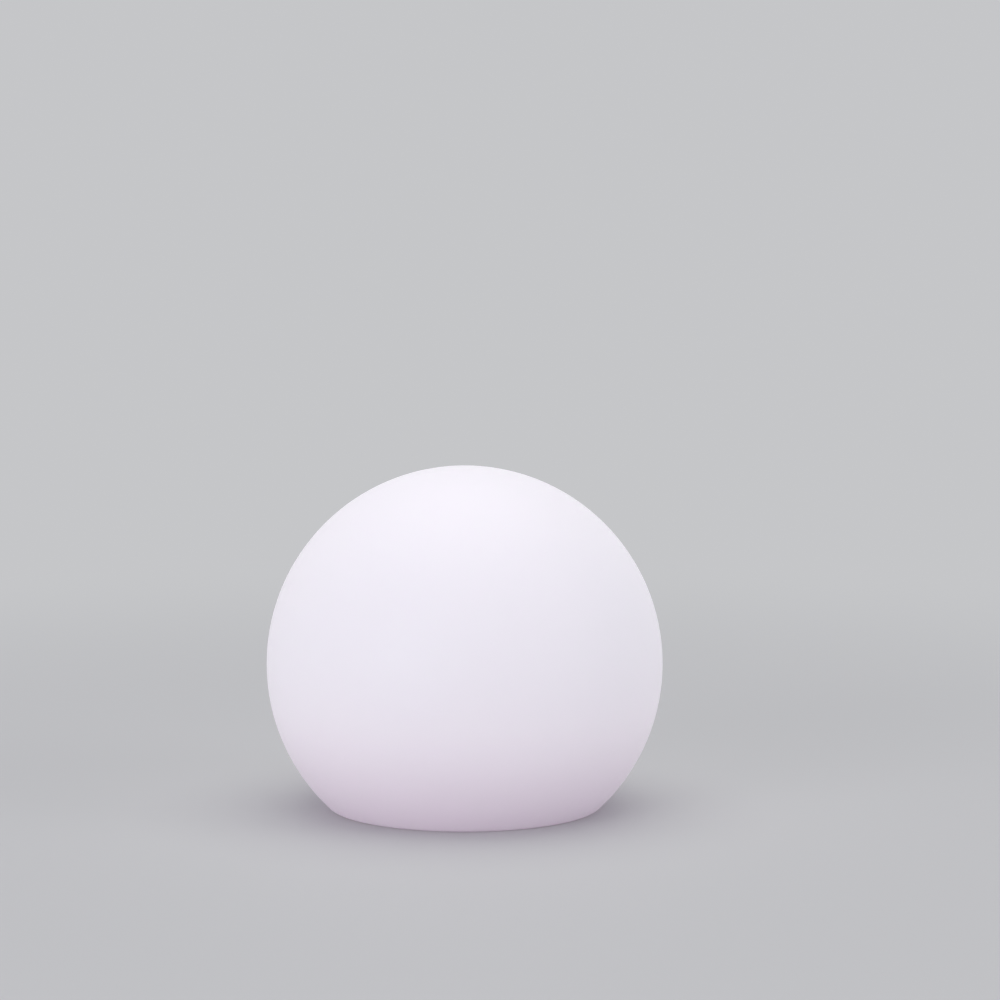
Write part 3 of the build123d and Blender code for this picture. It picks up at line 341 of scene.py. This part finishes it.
def soft_silicone():
    """Matt white rubber, faintly see-through and a little dusty."""
    made = Finish("silicone", (0.80, 0.80, 0.79), 0.40, subsurface_weight=0.3,
                  subsurface_scale=1 * MM, subsurface_radius=(1, 1, 1), sheen_weight=0.15)
    dusty = made.span(made.grain(3 * MM, 5.0), 0.45, 0.75)
    made.feed(made.mix(dusty, (0.82, 0.82, 0.81), (0.79, 0.785, 0.775)), "Base Color")
    made.feed(made.span(made.grain(1.2 * MM, 3.0), 0.3, 0.7, 0.34, 0.48), "Roughness")
    made.bump(made.grain(0.5 * MM, 2.0), 0.01 * MM)
    return made


def drawn_steel(name, colour, roughness, stretch, depth=0.003 * MM):
    """Metal with fine lines along the direction that it was drawn or turned in."""
    made = Finish(name, colour, roughness, metallic=1.0)
    lines = made.grain(0.25 * MM, 3.0, stretch)
    darker = tuple(0.9 * c for c in colour)
    made.feed(made.mix(made.span(made.grain(2.5 * MM, 4.0), 0.4, 0.7), colour, darker), "Base Color")
    made.feed(made.span(lines, 0.3, 0.7, roughness - 0.04, roughness + 0.06), "Roughness")
    made.bump(lines, depth)
    return made


def button_plastic():
    """Grey cap whose engraved symbol is filled with white."""
    made = moulded_plastic("button_plastic", (0.27, 0.29, 0.32), 0.42, 0.3 * MM, 0.012 * MM)
    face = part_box("power_button")[0][2]
    engraved = made.span(made.axis("Z"), face + 0.12 * MM, face + 0.2 * MM)
    near_face = made.span(made.axis("Z"), face + 0.7 * MM, face + 0.5 * MM)
    downwards = made.span(made.axis("Z", "Normal"), -0.6, -0.9)
    filled = made.math("MULTIPLY", made.math("MULTIPLY", engraved, near_face), downwards)
    earlier = made.shader.inputs["Base Color"].links[0].from_socket
    made.feed(made.mix(filled, earlier, (0.85, 0.86, 0.87)), "Base Color")
    return made


def clear_acrylic():
    """Milky-clear light pipe."""
    made = Finish("lens_acrylic", (0.86, 0.90, 0.92), 0.15, transmission_weight=0.25, ior=1.49,
                  subsurface_weight=0.5, subsurface_scale=1 * MM, subsurface_radius=(1, 1, 1))
    made.feed(made.span(made.grain(1 * MM, 3.0), 0.3, 0.7, 0.1, 0.22), "Roughness")
    made.bump(made.grain(0.8 * MM, 1.0), 0.004 * MM)
    return made


def frosted_acrylic():
    """Translucent dome with a fine matt face."""
    made = Finish("dome_acrylic", (0.88, 0.88, 0.88), 0.5, transmission_weight=0.35, ior=1.49,
                  subsurface_weight=0.5, subsurface_scale=3 * MM, subsurface_radius=(1, 1, 1))
    made.feed(made.mix(made.grain(20 * MM, 2.0), (0.90, 0.90, 0.90), (0.84, 0.85, 0.86)), "Base Color")
    made.feed(made.span(made.grain(1.5 * MM, 4.0), 0.3, 0.7, 0.46, 0.58), "Roughness")
    made.bump(made.grain(0.25 * MM, 2.0), 0.01 * MM)
    return made


def solder_mask(name, mask, track, edge, track_size):
    """Printed board: tracks under the mask, plated holes, and bare laminate on its edges."""
    made = Finish(name, mask, 0.34)
    tracks = made.node("ShaderNodeTexBrick", offset=0.35, squash=0.6, squash_frequency=3)
    tracks.inputs["Scale"].default_value = 1 / track_size
    tracks.inputs["Mortar Size"].default_value = 0.045
    for socket, value in (("Color1", 0), ("Color2", 0), ("Mortar", 1)):
        tracks.inputs[socket].default_value = (value, value, value, 1)
    made.link(made.space(), tracks.inputs["Vector"])
    holes = made.span(made.cells(2.6 * MM), 0.13, 0.1)
    painted = made.mix(tracks.outputs["Color"], mask, track)
    plated = made.mix(holes, painted, (0.55, 0.50, 0.36))
    flat = made.math("ABSOLUTE", made.axis("Z", "Normal"), 0.0)
    made.feed(made.mix(made.span(flat, 0.5, 0.3), plated, edge), "Base Color")
    made.bump(tracks.outputs["Color"], 0.03 * MM)
    return made


def sleeve_film():
    """Shrunk battery sleeve: glossy film, drawn tight and faintly rippled, over bare steel ends."""
    made = Finish("cell_wrap", (0.05, 0.20, 0.45), 0.22, coat_weight=0.5)
    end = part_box("battery_cell")[1][0]
    from_middle = made.math("ABSOLUTE", made.axis("X"), 0.0)
    steel = made.span(from_middle, end - 0.35 * MM, end - 0.2 * MM)
    made.feed(made.mix(steel, (0.05, 0.20, 0.45), (0.62, 0.61, 0.58)), "Base Color")
    made.feed(steel, "Metallic")
    made.bump(made.grain(3 * MM, 2.0, (0.25, 1, 1)), 0.03 * MM)
    return made


def light_chip():
    """White package with a yellow phosphor window."""
    made = Finish("led_plastic", (0.88, 0.87, 0.83), 0.3)
    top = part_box("led_chips")[1][2]
    sunk = made.span(made.axis("Z"), top - 0.1 * MM, top - 0.2 * MM)
    upwards = made.span(made.axis("Z", "Normal"), 0.5, 0.8)
    window = made.math("MULTIPLY", sunk, upwards)
    phosphor = made.mix(made.grain(0.3 * MM, 2.0), (0.86, 0.72, 0.20), (0.80, 0.66, 0.16))
    made.feed(made.mix(window, (0.88, 0.87, 0.83), phosphor), "Base Color")
    made.bump(made.grain(0.2 * MM, 2.0), 0.006 * MM)
    return made


def receiver_epoxy():
    """Dark tinted resin of the infrared receiver."""
    made = Finish("receiver_epoxy", (0.035, 0.025, 0.04), 0.18, coat_weight=0.3)
    made.feed(made.span(made.grain(1.5 * MM, 2.0), 0.3, 0.7, 0.14, 0.26), "Roughness")
    made.bump(made.grain(0.6 * MM, 2.0), 0.006 * MM)
    return made


def wire_insulation(name):
    """PVC insulation, with a soft and faintly uneven gloss."""
    made = Finish(name, BLACK_WIRE, 0.42)
    made.feed(made.span(made.grain(1.5 * MM, 3.0), 0.3, 0.7, 0.36, 0.5), "Roughness")
    made.bump(made.grain(0.4 * MM, 2.0), 0.01 * MM)
    return made


def wires_abreast(name, colours):
    """Wires that run side by side, each in its own band of X."""
    made = wire_insulation(name)
    low, high = (corner[0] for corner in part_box(name))
    colour = colours[0]
    for number in range(1, len(colours)):
        border = low + (high - low) * number / len(colours)
        colour = made.mix(made.past("X", border), colour, colours[number])
    made.feed(colour, "Base Color")
    return made


def battery_wires():
    """Red wire, and the black one that starts below it, turns outside it and ends beside it."""
    made = wire_insulation("battery_leads")
    start = made.math("MULTIPLY", made.past("Y", BLACK_START_Y), made.before("Z", BLACK_START_Z))
    turn_and_end = made.math("MAXIMUM", made.past("X", BLACK_TURN_X), made.before("Y", BLACK_END_Y))
    black = made.math("MAXIMUM", turn_and_end, start)
    made.feed(made.mix(black, RED_WIRE, BLACK_WIRE), "Base Color")
    return made


def finish_slots():
    """Every material slot of the record, with its finish."""
    white, grey = (0.80, 0.80, 0.79), (0.60, 0.60, 0.60)
    round_wire, turned_head = (1, 1, 1), (0.2, 1, 1)
    return {
        "globe_polyethylene": milky_polyethylene(),
        "core_plastic": moulded_plastic("core_plastic", white),
        "silicone": soft_silicone(),
        "loop_steel": drawn_steel("loop_steel", (0.62, 0.62, 0.61), 0.24, round_wire),
        "button_plastic": button_plastic(),
        "switch_plastic": moulded_plastic("switch_plastic", (0.035, 0.035, 0.04), 0.4),
        "plunger_plastic": moulded_plastic("plunger_plastic", (0.72, 0.71, 0.66), 0.35),
        "lens_acrylic": clear_acrylic(),
        "socket_plastic": moulded_plastic("socket_plastic", (0.03, 0.03, 0.034), 0.42),
        "contact_metal": drawn_steel("contact_metal", (0.74, 0.72, 0.66), 0.22, turned_head),
        "nut_brass": drawn_steel("nut_brass", (0.72, 0.68, 0.58), 0.28, turned_head),
        "circuit_board": solder_mask("circuit_board", (0.02, 0.17, 0.07), (0.035, 0.26, 0.11),
                                     (0.50, 0.46, 0.26), 5 * MM),
        "light_board": solder_mask("light_board", (0.84, 0.84, 0.83), (0.76, 0.76, 0.75),
                                   grey, 7 * MM),
        "chip_black": moulded_plastic("chip_black", (0.03, 0.03, 0.032), 0.55, 0.15 * MM,
                                      0.015 * MM),
        "connector_white": moulded_plastic("connector_white", (0.80, 0.77, 0.66), 0.42),
        "screw_steel": drawn_steel("screw_steel", (0.60, 0.61, 0.62), 0.3, turned_head),
        "cell_wrap": sleeve_film(),
        "tab_nickel": drawn_steel("tab_nickel", (0.68, 0.66, 0.62), 0.3, (1, 0.2, 1)),
        "frame_plastic": moulded_plastic("frame_plastic", (0.76, 0.76, 0.74), 0.5),
        "led_plastic": light_chip(),
        "receiver_epoxy": receiver_epoxy(),
        "dome_acrylic": frosted_acrylic(),
    }


FINISHES = finish_slots()
WIRES = {
    "led_leads": wires_abreast("led_leads", [WHITE_WIRE, BLUE_WIRE, GREEN_WIRE, RED_WIRE]),
    "socket_leads": wires_abreast("socket_leads", [BLACK_WIRE, RED_WIRE]),
    "battery_leads": battery_wires(),
}


def dress_nodes():
    """Gives each CAD node the finish of its slot, and each set of wires its own colours."""
    for part in frame["record"]["subparts"]:
        name = part["node"]
        finish = WIRES.get(name) or FINISHES[part["material_slot"]]
        for place in NODES[name].material_slots:
            place.material = finish.material


# ---- Ball ----------------------------------------------------------------------------------------
def ball():
    """The ball's outer face, foot, recess, neck and inner face, as one closed wall."""
    lift = BALL_CENTRE_Z - FOOT_EDGE_R
    edge_r = sqrt((BALL_R - FOOT_EDGE_R) ** 2 - lift**2)
    sweep = pi - atan2(edge_r, lift)
    section = Outline(0, BALL_CENTRE_Z + BALL_R)
    section.arc(0, BALL_CENTRE_Z, sweep, OUTER_STEPS)
    section.arc(edge_r, FOOT_EDGE_R, pi - sweep, FOOT_EDGE_STEPS)
    section.line(WELL_R + WELL_EDGE_R, 0)
    section.arc(WELL_R + WELL_EDGE_R, WELL_EDGE_R, pi / 2, WELL_EDGE_STEPS)
    section.line(WELL_R, SEAT_Z)
    section.line(NECK_R + NECK_EDGE_R, SEAT_Z)
    section.arc(NECK_R + NECK_EDGE_R, SEAT_Z + NECK_EDGE_R, pi / 2, NECK_EDGE_STEPS)
    section.line(NECK_R, NECK_TOP_Z - NECK_EDGE_R)
    section.arc(NECK_R + NECK_EDGE_R, NECK_TOP_Z - NECK_EDGE_R, pi / 2, NECK_EDGE_STEPS)
    section.line(NECK_R + BALL_WALL, NECK_TOP_Z)
    section.line(NECK_R + BALL_WALL, SEAT_Z + BALL_WALL)
    section.line(WELL_R + BALL_WALL, SEAT_Z + BALL_WALL)
    section.line(WELL_R + BALL_WALL, BALL_WALL)
    section.line(edge_r, BALL_WALL)
    section.arc(edge_r, FOOT_EDGE_R, sweep - pi, INNER_EDGE_STEPS)
    section.arc(0, BALL_CENTRE_Z, -sweep, INNER_STEPS)
    mesh = section.turn(BALL_STEPS)
    neck_thread(mesh)
    return piece("globe", mesh, "globe_polyethylene", "globe", nodes=["globe_shell"])


def neck_thread(mesh):
    """Helical ridge on the neck's bore: its end face, spun while it rises."""
    corners = (
        (NECK_R + THREAD_ROOT_SINK, -THREAD_ROOT), (NECK_R - THREAD_DEPTH, -THREAD_CREST),
        (NECK_R - THREAD_DEPTH, THREAD_CREST), (NECK_R + THREAD_ROOT_SINK, THREAD_ROOT),
    )
    end = mesh.faces.new([mesh.verts.new((r, 0, THREAD_Z + z)) for r, z in corners])
    bmesh.ops.duplicate(mesh, geom=[end])  # the spin moves its own end face on, and this one stays
    steps = round(THREAD_TURNS * BALL_STEPS / 2)
    bmesh.ops.spin(
        mesh, geom=[end], cent=(0, 0, 0), axis=(0, 0, 1), angle=2 * pi * THREAD_TURNS, steps=steps,
        dvec=(0, 0, THREAD_PITCH * THREAD_TURNS / steps),
    )


# ---- Rubber flap ---------------------------------------------------------------------------------
def flap_disc():
    """Round plug of the flap, with a dished outer face and the stub that stops the socket's bore."""
    top = FLAP_Z + FLAP_THICK
    section = Outline(0, FLAP_Z + FINGER_DIP_DEPTH)
    section.line(FINGER_DIP_R - FINGER_DIP_DEPTH, FLAP_Z + FINGER_DIP_DEPTH)
    section.line(FINGER_DIP_R, FLAP_Z)
    section.line(FLAP_R - FLAP_RIM_R, FLAP_Z)
    section.arc(FLAP_R - FLAP_RIM_R, FLAP_Z + FLAP_RIM_R, -pi / 2, FLAP_RIM_STEPS)
    section.line(FLAP_R, top - FLAP_RIM_R)
    section.arc(FLAP_R - FLAP_RIM_R, top - FLAP_RIM_R, -pi / 2, FLAP_RIM_STEPS)
    section.line(STUB_R, top)
    section.line(STUB_TIP_R, top + STUB_LENGTH - FLAP_RIM_R)
    section.line(STUB_TIP_R - FLAP_RIM_R, top + STUB_LENGTH)
    section.line(0, top + STUB_LENGTH)
    mesh = section.turn(FLAP_STEPS)
    bmesh.ops.translate(mesh, verts=mesh.verts, vec=(0, FLAP_Y, 0))
    return mesh


def slab(mesh, width, y_range, z_range, bevel, slices=1):
    """Adds a soft-edged slab across X, sliced along Y into the given number of slices. Returns its
    vertices.
    """
    made = bmesh.ops.create_cube(mesh, size=1.0)["verts"]
    size = (width, y_range[1] - y_range[0], z_range[1] - z_range[0])
    bmesh.ops.scale(mesh, verts=made, vec=size)
    middle = (0, sum(y_range) / 2, sum(z_range) / 2)
    bmesh.ops.translate(mesh, verts=made, vec=middle)
    edges = {e for v in made for e in v.link_edges}
    rounded = bmesh.ops.bevel(
        mesh, geom=list(edges), offset=bevel, offset_type="OFFSET", segments=3, profile=0.5,
        affect="EDGES", material=-1,
    )
    made = {v for f in rounded["faces"] for v in f.verts} | {v for v in made if v.is_valid}
    for cut in range(1, slices):
        y = y_range[0] + (y_range[1] - y_range[0]) * cut / slices
        faces = {f for v in made if v.is_valid for f in v.link_faces}
        geom = list(faces) + list({e for f in faces for e in f.edges}) + [v for v in made if v.is_valid]
        sliced = bmesh.ops.bisect_plane(mesh, geom=geom, plane_co=(0, y, 0), plane_no=(0, 1, 0))
        made |= {g for g in sliced["geom_cut"] if isinstance(g, bmesh.types.BMVert)}
    return [v for v in made if v.is_valid]


def rubber_flap():
    """Plug, pull tab and strap of the flap, in one soft moulding whose strap is thinned at the hinge line.
    """
    mesh = flap_disc()
    tab_z = (FLAP_Z + TAB_INSET, FLAP_Z + FLAP_THICK - TAB_INSET)
    slab(mesh, TAB_WIDTH, (FLAP_Y + TAB_ROOT_R, TAB_END_Y), tab_z, TAB_BEVEL)
    for rib in range(TAB_RIBS):
        y = TAB_END_Y - TAB_RIB_MARGIN - rib * TAB_RIB_PITCH
        bead = bmesh.ops.create_uvsphere(mesh, u_segments=12, v_segments=8, radius=TAB_RIB_R)["verts"]
        bmesh.ops.scale(mesh, verts=bead, vec=(TAB_RIB_HALF_LENGTH / TAB_RIB_R, 1, 1))
        bmesh.ops.translate(mesh, verts=bead, vec=(0, y, tab_z[0]))
    strap_z = (FLAP_Z + TAB_INSET, FLAP_Z + STRAP_THICK)
    strap_y = (ANCHOR_Y, FLAP_Y - TAB_ROOT_R)
    strap = slab(mesh, STRAP_WIDTH, strap_y, strap_z, STRAP_BEVEL, STRAP_SLICES)
    middle_z = sum(strap_z) / 2
    for vert in strap:
        near = max(0.0, 1 - abs(vert.co.y - HINGE_Y) / BEND_REACH)
        vert.co.z = middle_z + (vert.co.z - middle_z) * (1 - near * (1 - STRAP_WAIST / STRAP_THICK))
    made = piece("rubber_flap", mesh, "silicone", nodes=["port_flap"])
    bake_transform(made)
    return made


# ---- Studio and camera ---------------------------------------------------------------------------
def studio_floor():
    """Round pale floor. Far out it fades into the backdrop's grey.

    It can't be seen from below, and right under the lamp it lets light through to the base.
    """
    mesh = bmesh.new()
    bmesh.ops.create_circle(mesh, cap_ends=True, segments=FLOOR_SEGMENTS, radius=FLOOR_R)
    bmesh.ops.translate(mesh, verts=mesh.verts, vec=(0, 0, -FLOOR_SINK))
    data = bpy.data.meshes.new("studio_floor")
    mesh.to_mesh(data)
    mesh.free()
    made = bpy.data.objects.new("studio_floor", data)
    bpy.context.collection.objects.link(made)
    paint = Finish("studio_floor", FLOOR_GREY, 0.6)
    paint.set("Specular IOR Level", 0.2)
    away = paint.node("ShaderNodeVectorMath", operation="LENGTH")
    paint.link(paint.coords.outputs["Object"], away.inputs[0])
    backdrop = paint.node("ShaderNodeEmission")
    backdrop.inputs["Color"].default_value = (*BACK_GREY, 1)
    unseen = paint.node("ShaderNodeBsdfTransparent")
    fade, sides = paint.node("ShaderNodeMixShader"), paint.node("ShaderNodeMixShader")
    facing, rays = paint.node("ShaderNodeNewGeometry"), paint.node("ShaderNodeLightPath")
    paint.link(paint.span(away.outputs["Value"], *FADE_R), fade.inputs["Fac"])
    paint.link(paint.shader.outputs["BSDF"], fade.inputs[1])
    paint.link(backdrop.outputs["Emission"], fade.inputs[2])
    window = paint.span(away.outputs["Value"], WINDOW_R[1], WINDOW_R[0])
    unlooked = paint.math("SUBTRACT", window, rays.outputs["Is Camera Ray"])
    clear = paint.math("MAXIMUM", facing.outputs["Backfacing"], unlooked)
    paint.link(clear, sides.inputs["Fac"])
    paint.link(fade.outputs["Shader"], sides.inputs[1])
    paint.link(unseen.outputs["BSDF"], sides.inputs[2])
    paint.link(sides.outputs["Shader"], paint.tree.nodes["Material Output"].inputs["Surface"])
    data.materials.append(paint.material)


def studio_light():
    """Bluish air that lights the lamp, and a grey backdrop that the camera and reflections see."""
    world = bpy.data.worlds.new("studio")
    bpy.context.scene.world = world
    world.use_nodes = True
    tree = world.node_tree
    air = tree.nodes["Background"]
    air.inputs["Color"].default_value = (0.90, 0.92, 1.0, 1)
    air.inputs["Strength"].default_value = 0.5
    seen = tree.nodes.new("ShaderNodeBackground")
    seen.inputs["Color"].default_value = (*BACK_GREY, 1)
    rays = tree.nodes.new("ShaderNodeLightPath")
    choose = tree.nodes.new("ShaderNodeMixShader")
    sees = rays.outputs["Is Camera Ray"]
    for kind in ("Is Glossy Ray", "Is Transmission Ray"):
        either = tree.nodes.new("ShaderNodeMath")
        either.operation = "MAXIMUM"
        tree.links.new(sees, either.inputs[0])
        tree.links.new(rays.outputs[kind], either.inputs[1])
        sees = either.outputs["Value"]
    tree.links.new(sees, choose.inputs["Fac"])
    tree.links.new(air.outputs["Background"], choose.inputs[1])
    tree.links.new(seen.outputs["Background"], choose.inputs[2])
    tree.links.new(choose.outputs["Shader"], tree.nodes["World Output"].inputs["Surface"])


def softbox(name, place, target, size, power, colour):
    """Round area lamp that points at a target."""
    lamp = bpy.data.lights.new(name, "AREA")
    lamp.shape = "DISK"
    lamp.size = size
    lamp.energy = power
    lamp.color = colour
    made = bpy.data.objects.new(name, lamp)
    made.location = place
    made.rotation_euler = (Vector(target) - Vector(place)).to_track_quat("-Z", "Y").to_euler()
    bpy.context.collection.objects.link(made)


def photo_camera():
    """Camera whose picture puts the ball's centre at BALL_PX, seen down SIGHT_ELEVATION."""
    focal_px = LENS / SENSOR * FRAME_PX
    across = (BALL_PX[0] - FRAME_PX / 2) / focal_px
    up = (FRAME_PX / 2 - BALL_PX[1]) / focal_px
    length = sqrt(across**2 + up**2 + 1)
    across, up, ahead = across / length, up / length, 1 / length
    pitch = asin(-sin(SIGHT_ELEVATION) / hypot(up, ahead)) - atan2(up, ahead)
    yaw = atan2(across, ahead * cos(pitch) - up * sin(pitch))
    data = bpy.data.cameras.new("camera")
    data.lens = LENS
    data.sensor_width = SENSOR
    made = bpy.data.objects.new("camera", data)
    made.location = (
        0,
        -SIGHT_LENGTH * cos(SIGHT_ELEVATION),
        BALL_CENTRE_Z + SIGHT_LENGTH * sin(SIGHT_ELEVATION),
    )
    made.rotation_euler = Euler((pi / 2 + pitch, 0, yaw))
    bpy.context.collection.objects.link(made)
    bpy.context.scene.camera = made


# ---- Scene ---------------------------------------------------------------------------------------
photo_camera()
dress_nodes()
ball()
rubber_flap()
studio_floor()
studio_light()
for lamp_values in LAMPS:
    softbox(*lamp_values)
bpy.context.scene.view_settings.view_transform = "Standard"
